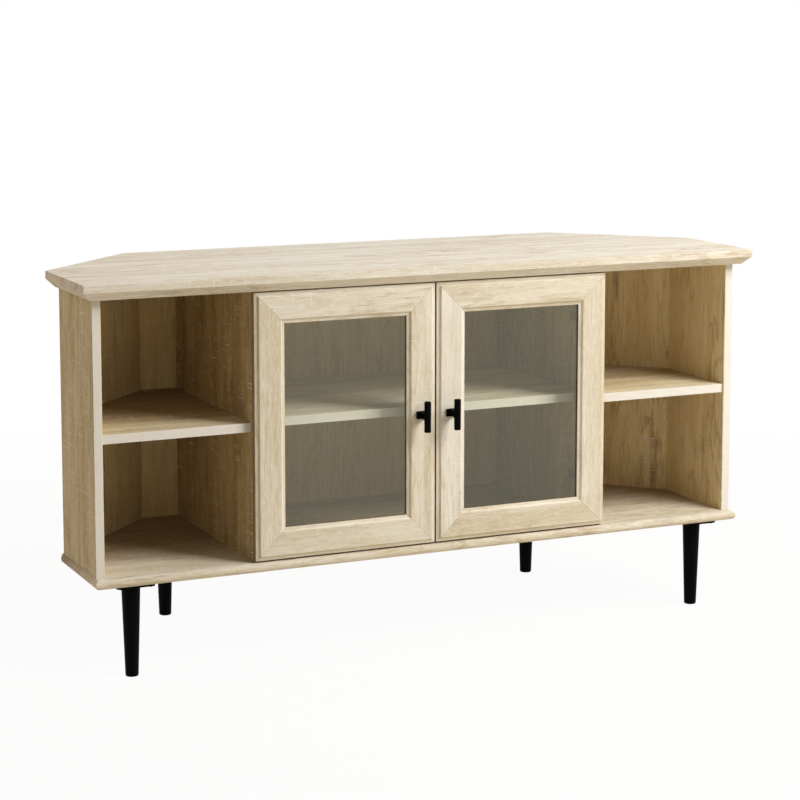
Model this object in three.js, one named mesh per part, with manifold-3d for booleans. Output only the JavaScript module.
// Corner TV cabinet: an open bay on each side of a closed centre bay, on four tapered legs.
// Millimetres, +Z up, front towards -Y. The origin is on the floor, in the middle of the
// whole object's box. Inside the cabinet group, y = 0 is the front edge of the top board.
import * as THREE from 'three';
import { mergeVertices } from 'three/addons/utils/BufferGeometryUtils.js';
import Module from 'manifold-3d';

const wasm = await Module();
wasm.setup();

// Overall sizes
const width = 1219.2;
const height = 643;
const depth = 408;

// Clearances and cuts
const clearance = 0.3;
const overrun = 20;
const arris = 0.8;
const weldGap = 1e-4;

// Top board: an upright edge, then a wide bevel underneath
const topThickness = 26;
const topBevel = 13.5;
const topSideLength = 216;

// Carcass boards and how far they stand back from the top board
const board = 15;
const panelSetback = 30;
const carcassInset = 20.6;
const diagonalInset = 18.4;
const backInset = 1.5;
const backThickness = 5;

// Bottom board: how far it reaches past the carcass, and its place above the floor
const bottomThickness = 16;
const bottomLip = 4.7;
const bottomDiagonalLip = 3.6;
const bottomSetback = 13.5;

// Open side bays, the centre bay between them, and the shelves
const sideBay = 249.5;
const shelfRise = 229.5;
const sideShelfSetback = 3.5;
const centreShelfSetback = 32;
const centreShelfPlay = 1;

// Shelf pins: a stem in the divider, a collar and a flat tongue under the shelf
const pinRadius = 2.5;
const pinStem = 8;
const pinCollarRadius = 4;
const pinCollar = 1;
const pinTongue = 9;
const pinTongueWidth = 6;
const pinTongueThickness = 2.2;
const pinInset = 40;

// Doors: full overlay on the dividers, between the top and bottom boards
const doorThickness = 15;
const doorBackGap = 0.9;
const doorEdgeInset = 1.5;
const meetingGap = 3;
const doorBottomGap = 3;
const doorTopGap = 2.5;

// Door frame moulding: steep bevel next to the face, then a shallow ledge to the edge
const frameWidth = 52;
const bevelRun = 3;
const bevelDrop = 3;
const ledgeRun = 4.4;
const ledgeDrop = 1;
const lipThickness = 6.5;
const rabbet = 8.5;
const glassThickness = 4;
const glassPlay = 1;
const beadWidth = 7;

// Cast T-bar knob: an upright round bar on a neck with an oblong foot, and curved webs
// above and below the neck where it meets the bar
const barLength = 52;
const barRadius = 5.6;
const barRound = 1.2;
const knobProjection = 29.1;
const footWidth = 20;
const footHeight = 13;
const footThickness = 4;
const footRound = 2;
const neckWidth = 8;
const neckHeight = 11;
const webReach = 4;
const knobScrewRadius = 2;
const knobScrewGrip = 14;
const knobScrewHeadRadius = 4.5;
const knobScrewHead = 2.4;

// Concealed hinges: a cup in the door, an arm on a plate on the divider
const hingeFromEnd = 80;
const cupRadius = 17.5;
const cupDepth = 11;
const cupFromEdge = 22.5;
const cupWall = 1.2;
const flangeThickness = 0.6;
const flangeWidth = 27;
const flangeLength = 60;
const flangeHoleSpacing = 48;
const plateFromFront = 37;
const plateWidth = 15;
const plateSpan = 48;
const plateThickness = 2.5;
const plateHoleSpacing = 32;
const plateHoleRadius = 2.4;
const saddleLength = 38;
const saddleHeight = 8;
const saddleWidth = 8;
const armWidth = 14;
const armWall = 1.5;
const armHeight = 19.5;
const armRear = 56;
const armShoulder = 14;
const noseDepth = 7;
const noseSize = 8;
const noseWidth = 9;
const hingeScrewRadius = 3;
const hingeScrewHeight = 1;

// Legs: tapered, on screwed-on plates, each with a bolt into the bottom board
const legHeight = 152;
const legTopRadius = 15.4;
const legFootRadius = 10.65;
const legFootRound = 2;
const legPlateSize = 64;
const legPlateThickness = 3;
const legPlateCorner = 5;
const legPlateHoleRadius = 2.4;
const legPlateHoleInset = 7;
const legBoltRadius = 4;
const legBoltLength = 13;
const frontLegFromSide = 68.7;
const frontLegFromFront = 38;
const rearLegFromCorner = 38.2;
const rearLegFromBack = 32.5;

// Facets round a full turn
const fineTurn = 28;
const coarseTurn = 12;

// Heights, from the floor up
const bottomBase = legHeight + legPlateThickness;
const bottomTop = bottomBase + bottomThickness;
const topBase = height - topThickness;
const panelHeight = topBase - bottomTop;
const shelfTop = bottomTop + shelfRise;
const shelfBase = shelfTop - board;

// Plan of the carcass: half widths, back faces, and the value of x + y along each diagonal
const slope = Math.SQRT2;
const carcassHalf = width / 2 - carcassInset;
const sideInner = carcassHalf - board;
const topDiagonal = width / 2 + topSideLength;
const backOuterDiagonal = topDiagonal - diagonalInset * slope;
const backInnerDiagonal = backOuterDiagonal - backThickness * slope;
const backOuter = depth - backInset;
const backInner = backOuter - backThickness;
const bottomHalf = carcassHalf + bottomLip;
const bottomDiagonal = backOuterDiagonal + bottomDiagonalLip * slope;
const dividerOuter = sideInner - sideBay;
const dividerInner = dividerOuter - board;

// Place and size of the doors
const doorBack = panelSetback - doorBackGap;
const doorFace = doorBack - doorThickness;
const doorOuter = dividerOuter - doorEdgeInset;
const doorWidth = doorOuter - meetingGap / 2;
const doorBottom = bottomTop + doorBottomGap;
const doorHeight = topBase - doorTopGap - doorBottom;
const glassWidth = doorWidth - 2 * frameWidth;
const glassHeight = doorHeight - 2 * frameWidth;

// Each colour follows the finish of the real piece
const oakLook = { color: 0xdccfb4, roughness: 0.55, metalness: 0 };
const oakShadeLook = { color: 0xd2c3a4, roughness: 0.6, metalness: 0 };
const glassLook = { color: 0xc9d2cc, roughness: 0.05, metalness: 0, transparent: true, opacity: 0.35 };
const blackLook = { color: 0x1c1b1b, roughness: 0.42, metalness: 0.6 };
const steelLook = { color: 0xb8babc, roughness: 0.3, metalness: 1 };
const beadLook = { color: 0x3a2d22, roughness: 0.6, metalness: 0 };

const cabinet = new THREE.Group();
cabinet.position.y = -(depth + doorFace - knobProjection) / 2;

// A closed geometry as a solid for cutting and joining
function toSolid(geometry) {
  const bare = geometry.clone();
  bare.deleteAttribute('normal');
  bare.deleteAttribute('uv');
  const merged = mergeVertices(bare, weldGap);
  return new wasm.Manifold(new wasm.Mesh({
    numProp: 3,
    vertProperties: new Float32Array(merged.attributes.position.array),
    triVerts: new Uint32Array(merged.index.array),
  }));
}

// A solid back as a geometry, with the normals that its faces share along their edges
function toGeometry(solid) {
  const mesh = solid.getMesh();
  const geometry = new THREE.BufferGeometry();
  geometry.setAttribute('position', new THREE.BufferAttribute(mesh.vertProperties, mesh.numProp));
  geometry.setIndex(new THREE.BufferAttribute(mesh.triVerts, 1));
  geometry.computeVertexNormals();
  return geometry;
}

function cut(geometry, tools) {
  const removed = tools.reduce((solid, tool) => solid.subtract(toSolid(tool)), toSolid(geometry));
  return toGeometry(removed);
}

function join(geometries) {
  const [first, ...others] = geometries;
  return toGeometry(others.reduce((solid, other) => solid.add(toSolid(other)), toSolid(first)));
}

function outline(points) {
  return new THREE.Shape(points.map(([x, y]) => new THREE.Vector2(x, y)));
}

// A flat outline raised to a board of the given thickness
function raise(shape, thickness) {
  return new THREE.ExtrudeGeometry(shape, { depth: thickness, bevelEnabled: false, curveSegments: 6 });
}

function rod(radius, length, sides = coarseTurn) {
  const geometry = new THREE.CylinderGeometry(radius, radius, length, sides);
  return geometry.rotateX(Math.PI / 2);
}

// A rectangle with rounded corners, centred on (0, 0)
function roundedRectangle(sizeX, sizeY, radius) {
  const shape = new THREE.Shape();
  const x = sizeX / 2 - radius;
  const y = sizeY / 2 - radius;
  shape.absarc(x, y, radius, 0, Math.PI / 2);
  shape.absarc(-x, y, radius, Math.PI / 2, Math.PI);
  shape.absarc(-x, -y, radius, Math.PI, Math.PI * 1.5);
  shape.absarc(x, -y, radius, Math.PI * 1.5, Math.PI * 2);
  return shape;
}

// A prism that follows one edge of a board seen from above. In the profile, x points out of
// the board, square to the edge, and y points up. The prism runs past both ends of the edge.
function alongEdge(from, to, profile) {
  const start = new THREE.Vector3(from[0], from[1], 0);
  const along = new THREE.Vector3(to[0], to[1], 0).sub(start);
  const length = along.length();
  along.normalize();
  const up = new THREE.Vector3(0, 0, 1);
  const out = new THREE.Vector3().crossVectors(up, along);
  const geometry = raise(profile, length + 2 * overrun);
  const place = new THREE.Matrix4().makeBasis(out, up, along);
  place.setPosition(start.addScaledVector(along, -overrun));
  return geometry.applyMatrix4(place);
}

// Adds one named piece to a group
function piece(name, geometry, look, group = cabinet) {
  const mesh = new THREE.Mesh(geometry, new THREE.MeshStandardMaterial(look));
  mesh.name = name;
  group.add(mesh);
  return mesh;
}

// The two sides of the cabinet: -1 is the left one
const sides = [['left', -1], ['right', 1]];

// A six-sided plan: front, two short sides, two 45 degree diagonals and a straight back.
// The points run clockwise seen from above, so that alongEdge looks outwards.
function cornerPlan(half, front, diagonal, back) {
  const sideEnd = diagonal - half;
  const backHalf = diagonal - back;
  return [
    [half, front],
    [-half, front],
    [-half, sideEnd],
    [-backHalf, back],
    [backHalf, back],
    [half, sideEnd],
  ];
}

// Edges of a plan as pairs of points. In order: front, left side, left diagonal, back,
// right diagonal, right side.
function edgesOf(plan) {
  return plan.map((point, index) => [point, plan[(index + 1) % plan.length]]);
}

// Top board
function makeTopBoard() {
  const plan = cornerPlan(width / 2, 0, topDiagonal, depth);
  const slab = raise(outline(plan), topThickness);
  const underBevel = outline([
    [-topBevel, 0],
    [-topBevel - overrun, -overrun],
    [overrun, -overrun],
    [overrun, topBevel + overrun],
  ]);
  const upperArris = outline([
    [-arris, topThickness],
    [arris, topThickness - 2 * arris],
    [arris, topThickness + overrun],
    [-arris - overrun, topThickness + overrun],
  ]);
  const [front, leftSide, leftDiagonal, back, rightDiagonal, rightSide] = edgesOf(plan);
  const bevelled = [front, leftSide, leftDiagonal, rightDiagonal, rightSide];
  const cutters = bevelled.map(([from, to]) => alongEdge(from, to, underBevel));
  const arrises = [...bevelled, back].map(([from, to]) => alongEdge(from, to, upperArris));
  piece('top_board', cut(slab, [...cutters, ...arrises]), oakLook).position.z = topBase;
}

// Bottom board: full round on the front and short sides, sockets for the four leg bolts
function makeBottomBoard(legPlaces) {
  const plan = cornerPlan(bottomHalf, bottomSetback, bottomDiagonal, backOuter);
  const slab = raise(outline(plan), bottomThickness);
  const radius = bottomThickness / 2;
  const outside = new THREE.Shape();
  outside.moveTo(-radius, -overrun);
  outside.lineTo(overrun, -overrun);
  outside.lineTo(overrun, bottomThickness + overrun);
  outside.lineTo(-radius, bottomThickness + overrun);
  outside.lineTo(-radius, bottomThickness);
  outside.absarc(-radius, radius, radius, Math.PI / 2, -Math.PI / 2, true);
  const [front, leftSide, , , , rightSide] = edgesOf(plan);
  const rounds = [front, leftSide, rightSide].map(([from, to]) => alongEdge(from, to, outside));
  const socketDepth = legBoltLength - legPlateThickness + clearance;
  const sockets = legPlaces.map(([x, y]) => (
    rod(legBoltRadius + clearance, 2 * socketDepth).translate(x, y, 0)
  ));
  piece('bottom_board', cut(slab, [...rounds, ...sockets]), oakLook).position.z = bottomBase;
}

// Upright side panels, mitred at the back to lie against the diagonal backs
function makeSidePanels() {
  const mitre = backInnerDiagonal - clearance * slope;
  for (const [side, sign] of sides) {
    const plan = outline([
      [sign * sideInner, panelSetback + arris],
      [sign * (sideInner + arris), panelSetback],
      [sign * (carcassHalf - arris), panelSetback],
      [sign * carcassHalf, panelSetback + arris],
      [sign * carcassHalf, mitre - carcassHalf],
      [sign * sideInner, mitre - sideInner],
    ]);
    piece(`${side}_side_panel`, raise(plan, panelHeight), oakLook).position.z = bottomTop;
  }
}

// Places of the centre shelf's pins: x towards the middle is 0 at the divider's inner face
const centreShelfFront = panelSetback + centreShelfSetback;
const centreShelfBack = backInner - centreShelfPlay;
const pinRows = [['front', centreShelfFront + pinInset], ['rear', centreShelfBack - pinInset]];
const pinHeight = shelfBase - pinTongueThickness / 2;

// Dividers, bored for the shelf pins
function makeDividers() {
  for (const [side, sign] of sides) {
    const plan = outline([
      [sign * dividerInner, panelSetback + arris],
      [sign * (dividerInner + arris), panelSetback],
      [sign * (dividerOuter - arris), panelSetback],
      [sign * dividerOuter, panelSetback + arris],
      [sign * dividerOuter, backInner],
      [sign * dividerInner, backInner],
    ]);
    const bores = pinRows.map(([, y]) => {
      const bore = rod(pinRadius + clearance, 2 * (pinStem + clearance)).rotateY(Math.PI / 2);
      return bore.translate(sign * dividerInner, y, pinHeight - bottomTop);
    });
    piece(`${side}_divider`, cut(raise(plan, panelHeight), bores), oakShadeLook).position.z = bottomTop;
  }
}

// Thin backs: a straight one, and a diagonal one on each side with a mitred joint between them
function makeBacks() {
  const innerHalf = backInnerDiagonal - backInner;
  const outerHalf = backOuterDiagonal - backOuter;
  const straight = outline([
    [-innerHalf, backInner],
    [innerHalf, backInner],
    [outerHalf, backOuter],
    [-outerHalf, backOuter],
  ]);
  piece('back_panel', raise(straight, panelHeight), oakShadeLook).position.z = bottomTop;
  for (const [side, sign] of sides) {
    const plan = outline([
      [sign * (innerHalf + clearance), backInner - clearance],
      [sign * carcassHalf, backInnerDiagonal - carcassHalf],
      [sign * carcassHalf, backOuterDiagonal - carcassHalf],
      [sign * (outerHalf + clearance), backOuter - clearance],
    ]);
    piece(`${side}_diagonal_back`, raise(plan, panelHeight), oakShadeLook).position.z = bottomTop;
  }
}

// Fixed shelves of the open bays, and the loose centre shelf
function makeShelves() {
  const front = panelSetback + sideShelfSetback;
  const slant = backInnerDiagonal - clearance * slope;
  for (const [side, sign] of sides) {
    const plan = outline([
      [sign * dividerOuter, front],
      [sign * sideInner, front],
      [sign * sideInner, slant - sideInner],
      [sign * (slant - backInner), backInner],
      [sign * dividerOuter, backInner],
    ]);
    piece(`${side}_shelf`, raise(plan, board), oakLook).position.z = shelfBase;
  }
  const half = dividerInner - centreShelfPlay;
  const centre = outline([
    [-half, centreShelfFront],
    [half, centreShelfFront],
    [half, centreShelfBack],
    [-half, centreShelfBack],
  ]);
  piece('centre_shelf', raise(centre, board), oakLook).position.z = shelfBase;
}

// A shelf pin lies along x: stem inside the divider, collar on its face, tongue under the shelf
function makeShelfPins() {
  const stem = rod(pinRadius, pinStem + pinCollar).rotateY(Math.PI / 2);
  stem.translate((pinCollar - pinStem) / 2, 0, 0);
  const collar = rod(pinCollarRadius, pinCollar).rotateY(Math.PI / 2);
  collar.translate(pinCollar / 2, 0, 0);
  const collarTop = new THREE.BoxGeometry(2 * pinCollar, 2 * pinCollarRadius, pinCollarRadius);
  collarTop.translate(pinCollar / 2, 0, (pinTongueThickness + pinCollarRadius) / 2);
  const tongue = new THREE.BoxGeometry(pinTongue, pinTongueWidth, pinTongueThickness);
  tongue.translate(pinTongue / 2, 0, 0);
  const pin = join([cut(join([stem, collar]), [collarTop]), tongue]);
  for (const [side, sign] of sides) {
    for (const [row, y] of pinRows) {
      const mesh = piece(`${side}_${row}_shelf_pin`, pin, steelLook);
      mesh.position.set(sign * dividerInner, y, pinHeight);
      mesh.rotation.z = sign > 0 ? Math.PI : 0;
    }
  }
}

// Section through a door frame member: x from its outer edge inwards, y from its face back
function frameSection() {
  const edgeDrop = bevelDrop + ledgeDrop;
  const edgeRun = bevelRun + ledgeRun;
  return outline([
    [0, doorThickness],
    [0, edgeDrop],
    [ledgeRun, bevelDrop],
    [edgeRun, 0],
    [frameWidth - edgeRun, 0],
    [frameWidth - ledgeRun, bevelDrop],
    [frameWidth, edgeDrop],
    [frameWidth, lipThickness],
    [frameWidth - rabbet, lipThickness],
    [frameWidth - rabbet, doorThickness],
  ]);
}

// A frame member of the given length with both ends mitred: each end recedes as x grows.
// A clearance at each end leaves the fine joint line that shows at the corners.
function frameMember(length) {
  const geometry = raise(frameSection(), length);
  const position = geometry.attributes.position;
  for (let index = 0; index < position.count; index += 1) {
    const recess = position.getX(index) + clearance / 2;
    position.setZ(index, position.getZ(index) > 0 ? length - recess : recess);
  }
  geometry.computeVertexNormals();
  return geometry;
}

const knobHeight = doorHeight / 2;
const hingeHeights = [['lower', hingeFromEnd], ['upper', doorHeight - hingeFromEnd]];

// Hinge stile, bored from behind for the two cups
function hingeStile() {
  const bores = hingeHeights.map(([, z]) => {
    const bore = rod(cupRadius, 2 * cupDepth, fineTurn).rotateX(Math.PI / 2);
    return bore.translate(cupFromEdge, doorThickness, z);
  });
  return cut(frameMember(doorHeight), bores);
}

// Meeting stile, drilled through for the knob's screw
function meetingStile() {
  const hole = rod(knobScrewRadius + clearance, 4 * doorThickness).rotateX(Math.PI / 2);
  return cut(frameMember(doorHeight), [hole.translate(frameWidth / 2, 0, knobHeight)]);
}

// The four members of one door, turned in the plane of the door onto its four sides
function makeFrame(side, door, hingeIsLeft) {
  const leftStile = hingeIsLeft ? hingeStile() : meetingStile();
  const rightStile = hingeIsLeft ? meetingStile() : hingeStile();
  const leftName = hingeIsLeft ? 'hinge_stile' : 'meeting_stile';
  const rightName = hingeIsLeft ? 'meeting_stile' : 'hinge_stile';
  piece(`${side}_door_${leftName}`, leftStile, oakLook, door);
  const right = piece(`${side}_door_${rightName}`, rightStile, oakLook, door);
  right.position.set(doorWidth, 0, doorHeight);
  right.rotation.y = Math.PI;
  const bottom = piece(`${side}_door_bottom_rail`, frameMember(doorWidth), oakLook, door);
  bottom.position.set(doorWidth, 0, 0);
  bottom.rotation.y = -Math.PI / 2;
  const top = piece(`${side}_door_top_rail`, frameMember(doorWidth), oakLook, door);
  top.position.set(0, 0, doorHeight);
  top.rotation.y = Math.PI / 2;
}

// Glass pane in the rabbet, and the bead that holds it from behind
function makeGlazing(side, door) {
  const reach = 2 * (rabbet - glassPlay);
  const pane = new THREE.BoxGeometry(glassWidth + reach, glassThickness, glassHeight + reach);
  const paneFront = lipThickness + clearance;
  const glass = piece(`${side}_door_glass`, pane, glassLook, door);
  glass.position.set(doorWidth / 2, paneFront + glassThickness / 2, doorHeight / 2);

  const beadReach = 2 * (rabbet - clearance);
  const ring = roundedRectangle(glassWidth + beadReach, glassHeight + beadReach, arris);
  const opening = roundedRectangle(
    glassWidth + beadReach - 2 * beadWidth,
    glassHeight + beadReach - 2 * beadWidth,
    arris,
  );
  ring.holes.push(new THREE.Path(opening.getPoints(2)));
  const beadFront = paneFront + glassThickness + clearance;
  const bead = piece(`${side}_door_glass_bead`, raise(ring, doorThickness - beadFront), beadLook, door);
  bead.position.set(doorWidth / 2, doorThickness, doorHeight / 2);
  bead.rotation.x = Math.PI / 2;
}

// Cast T-bar knob. Its own y = 0 is the seat on the door's face, and it stands out towards -y.
function knobGeometry() {
  const barAxis = knobProjection - barRadius;
  const barEnd = barLength / 2;
  const barProfile = [
    [0, -barEnd],
    [barRadius - barRound, -barEnd],
    [barRadius, barRound - barEnd],
    [barRadius, barEnd - barRound],
    [barRadius - barRound, barEnd],
    [0, barEnd],
  ].map(([radius, z]) => new THREE.Vector2(radius, z));
  const bar = new THREE.LatheGeometry(barProfile, fineTurn).rotateX(Math.PI / 2);
  bar.translate(0, -barAxis, 0);

  const foot = raise(roundedRectangle(footWidth, footHeight, footRound), footThickness);
  foot.rotateX(Math.PI / 2);
  const neck = new THREE.BoxGeometry(neckWidth, barAxis, neckHeight);
  neck.translate(0, -barAxis / 2, 0);

  // Webs above and below the neck, each hollowed by a quarter circle between neck and bar.
  // The hollow ends where the side of the neck meets the round of the bar.
  const neckTop = neckHeight / 2;
  const barSide = barAxis - Math.sqrt(barRadius ** 2 - (neckWidth / 2) ** 2);
  const webs = [1, -1].map((turn) => {
    const web = new THREE.Shape();
    web.moveTo(-barAxis, 0);
    web.lineTo(-barSide + webReach, 0);
    web.lineTo(-barSide + webReach, neckTop);
    web.absarc(-barSide + webReach, neckTop + webReach, webReach, Math.PI * 1.5, Math.PI, true);
    web.lineTo(-barAxis, neckTop + webReach);
    const plate = raise(web, neckWidth).translate(0, 0, -neckWidth / 2);
    plate.applyMatrix4(new THREE.Matrix4().makeBasis(
      new THREE.Vector3(0, 1, 0),
      new THREE.Vector3(0, 0, turn),
      new THREE.Vector3(turn, 0, 0),
    ));
    return plate;
  });
  const socket = rod(knobScrewRadius + clearance, 2 * knobScrewGrip).rotateX(Math.PI / 2);
  return cut(join([bar, foot, neck, ...webs]), [socket]);
}

// Screw through the meeting stile into the knob's neck, head against the stile's back
function knobScrewGeometry() {
  const reach = doorThickness + knobScrewGrip - 2 * clearance;
  const profile = [
    [0, 0],
    [knobScrewRadius, 0],
    [knobScrewRadius, reach],
    [knobScrewHeadRadius, reach],
    [knobScrewHeadRadius, reach + knobScrewHead / 2],
    [knobScrewHeadRadius / 2, reach + knobScrewHead],
    [0, reach + knobScrewHead],
  ].map(([radius, y]) => new THREE.Vector2(radius, y));
  return new THREE.LatheGeometry(profile, coarseTurn).translate(0, doorThickness - reach, 0);
}

function makeKnob(side, door, x) {
  piece(`${side}_door_knob`, knobGeometry(), blackLook, door).position.set(x, 0, knobHeight);
  piece(`${side}_door_knob_screw`, knobScrewGeometry(), steelLook, door).position.set(x, 0, knobHeight);
}

// Hinge cup: a pressed bowl with a flange that lies on the back of the stile.
// Its own y = 0 is the back of the stile, and the bowl goes in towards -y.
function hingeCupGeometry() {
  const bowlDepth = cupDepth - clearance;
  const bowlRadius = cupRadius - clearance;
  const bowl = rod(bowlRadius, bowlDepth + flangeThickness, fineTurn).rotateX(Math.PI / 2);
  bowl.translate(0, (flangeThickness - bowlDepth) / 2, 0);
  const flange = raise(roundedRectangle(flangeWidth, flangeLength, flangeWidth / 3), flangeThickness);
  flange.rotateX(Math.PI / 2).translate(0, flangeThickness, 0);
  const hollow = rod(bowlRadius - cupWall, 2 * bowlDepth, fineTurn).rotateX(Math.PI / 2);
  hollow.translate(0, cupWall, 0);
  const holes = [1, -1].map((turn) => {
    const hole = rod(plateHoleRadius, 4 * flangeThickness).rotateX(Math.PI / 2);
    return hole.translate(0, 0, turn * flangeHoleSpacing / 2);
  });
  return cut(join([bowl, flange]), [hollow, ...holes]);
}

function makeHingeCups(side, door, x) {
  for (const [level, z] of hingeHeights) {
    const cup = piece(`${side}_${level}_hinge_cup`, hingeCupGeometry(), steelLook, door);
    cup.position.set(x, doorThickness, z);
  }
}

// Mounting plate on the divider. Its own x = 0 is the divider's face, +x towards the middle.
function mountingPlateGeometry() {
  const cross = roundedRectangle(plateWidth, plateSpan, plateWidth / 3);
  const wings = raise(cross, plateThickness);
  const saddle = new THREE.BoxGeometry(saddleLength, saddleWidth, saddleHeight);
  saddle.translate(0, 0, saddleHeight / 2);
  const holes = [1, -1].map((turn) => {
    const hole = rod(plateHoleRadius, 4 * plateThickness);
    return hole.translate(0, turn * plateHoleSpacing / 2, 0);
  });
  const plate = cut(join([wings, saddle]), holes);
  return plate.applyMatrix4(new THREE.Matrix4().makeBasis(
    new THREE.Vector3(0, 1, 0),
    new THREE.Vector3(0, 0, 1),
    new THREE.Vector3(1, 0, 0),
  ));
}

// Hinge arm: a folded channel over the saddle, whose nose reaches into the open cup.
// Its side view has x along the arm from the door's back, and y out from the divider's face.
function hingeArmGeometry() {
  const channelBase = saddleHeight + clearance;
  const noseCentre = cupFromEdge - (doorOuter - dividerInner);
  const shoulderStart = doorBackGap + flangeThickness + clearance;
  const side = outline([
    [shoulderStart, noseCentre - noseSize / 2],
    [shoulderStart + armShoulder, channelBase],
    [armRear, channelBase],
    [armRear, armHeight - armWall],
    [armRear - armWall, armHeight],
    [shoulderStart + armShoulder, armHeight],
    [shoulderStart, noseCentre + noseSize / 2],
  ]);
  const body = raise(side, armWidth).translate(0, 0, -armWidth / 2);
  const inside = new THREE.BoxGeometry(armRear, armHeight - armWall, armWidth - 2 * armWall);
  inside.translate(shoulderStart + armShoulder + armRear / 2, (armHeight - armWall) / 2, 0);
  const nose = new THREE.BoxGeometry(noseDepth + 2 * shoulderStart, noseSize, noseWidth);
  nose.translate((2 * shoulderStart - noseDepth) / 2, noseCentre, 0);
  const screws = [plateFromFront - saddleLength / 3, plateFromFront + saddleLength / 3].map((x) => {
    const screw = rod(hingeScrewRadius, armHeight - saddleHeight).rotateX(Math.PI / 2);
    return screw.translate(x, (armHeight + saddleHeight) / 2 + hingeScrewHeight / 2, 0);
  });
  const arm = join([cut(body, [inside]), nose, ...screws]);
  return arm.applyMatrix4(new THREE.Matrix4().makeBasis(
    new THREE.Vector3(0, 1, 0),
    new THREE.Vector3(1, 0, 0),
    new THREE.Vector3(0, 0, -1),
  ));
}

// Plates and arms are alike above and below, so half a turn about y fits them to the other side
function makeHingeArms() {
  for (const [side, sign] of sides) {
    for (const [level, z] of hingeHeights) {
      const plate = piece(`${side}_${level}_hinge_plate`, mountingPlateGeometry(), steelLook);
      plate.position.set(sign * dividerInner, panelSetback + plateFromFront, doorBottom + z);
      const arm = piece(`${side}_${level}_hinge_arm`, hingeArmGeometry(), steelLook);
      arm.position.set(sign * dividerInner, doorBack, doorBottom + z);
      for (const mesh of [plate, arm]) {
        mesh.rotation.y = sign > 0 ? Math.PI : 0;
      }
    }
  }
}

// One door, built around its lower left front corner as seen from the front
function makeDoor(side, sign) {
  const door = new THREE.Group();
  const hingeIsLeft = sign < 0;
  door.position.set(hingeIsLeft ? -doorOuter : meetingGap / 2, doorFace, doorBottom);
  cabinet.add(door);
  makeFrame(side, door, hingeIsLeft);
  makeGlazing(side, door);
  makeKnob(side, door, hingeIsLeft ? doorWidth - frameWidth / 2 : frameWidth / 2);
  makeHingeCups(side, door, hingeIsLeft ? cupFromEdge : doorWidth - cupFromEdge);
}

// Where the legs stand: two near the front corners, two near the straight back edge
function findLegPlaces() {
  const frontX = bottomHalf - frontLegFromSide;
  const frontY = bottomSetback + frontLegFromFront;
  const rearX = bottomDiagonal - backOuter - rearLegFromCorner;
  const rearY = backOuter - rearLegFromBack;
  return [
    ['front_left', -frontX, frontY],
    ['front_right', frontX, frontY],
    ['rear_left', -rearX, rearY],
    ['rear_right', rearX, rearY],
  ];
}

// Tapered leg with a rounded foot and the bolt on which it screws into the bottom board
function legGeometry() {
  const profile = new THREE.Path();
  profile.moveTo(0, 0);
  profile.lineTo(legFootRadius - legFootRound, 0);
  profile.absarc(legFootRadius - legFootRound, legFootRound, legFootRound, -Math.PI / 2, 0, false);
  profile.lineTo(legTopRadius, legHeight);
  profile.lineTo(legBoltRadius, legHeight);
  profile.lineTo(legBoltRadius, legHeight + legBoltLength);
  profile.lineTo(0, legHeight + legBoltLength);
  return new THREE.LatheGeometry(profile.getPoints(3), fineTurn).rotateX(Math.PI / 2);
}

// Leg plate with a hole for the bolt and four screw holes near its corners
function legPlateGeometry() {
  const reach = legPlateSize / 2 - legPlateHoleInset;
  const corners = [[reach, reach], [-reach, reach], [-reach, -reach], [reach, -reach]];
  const holes = corners.map(([x, y]) => (
    rod(legPlateHoleRadius, 4 * legPlateThickness).translate(x, y, 0)
  ));
  const boltHole = rod(legBoltRadius + clearance, 4 * legPlateThickness);
  const blank = raise(roundedRectangle(legPlateSize, legPlateSize, legPlateCorner), legPlateThickness);
  return cut(blank, [boltHole, ...holes]);
}

function makeLegs(places) {
  for (const [name, x, y] of places) {
    piece(`${name}_leg`, legGeometry(), blackLook).position.set(x, y, 0);
    piece(`${name}_leg_plate`, legPlateGeometry(), blackLook).position.set(x, y, legHeight);
  }
}

const legPlaces = findLegPlaces();
makeTopBoard();
makeBottomBoard(legPlaces.map(([, x, y]) => [x, y]));
makeSidePanels();
makeDividers();
makeBacks();
makeShelves();
makeShelfPins();
for (const [side, sign] of sides) {
  makeDoor(side, sign);
}
makeHingeArms();
makeLegs(legPlaces);

const model = new THREE.Group();
model.add(cabinet);

export default model;
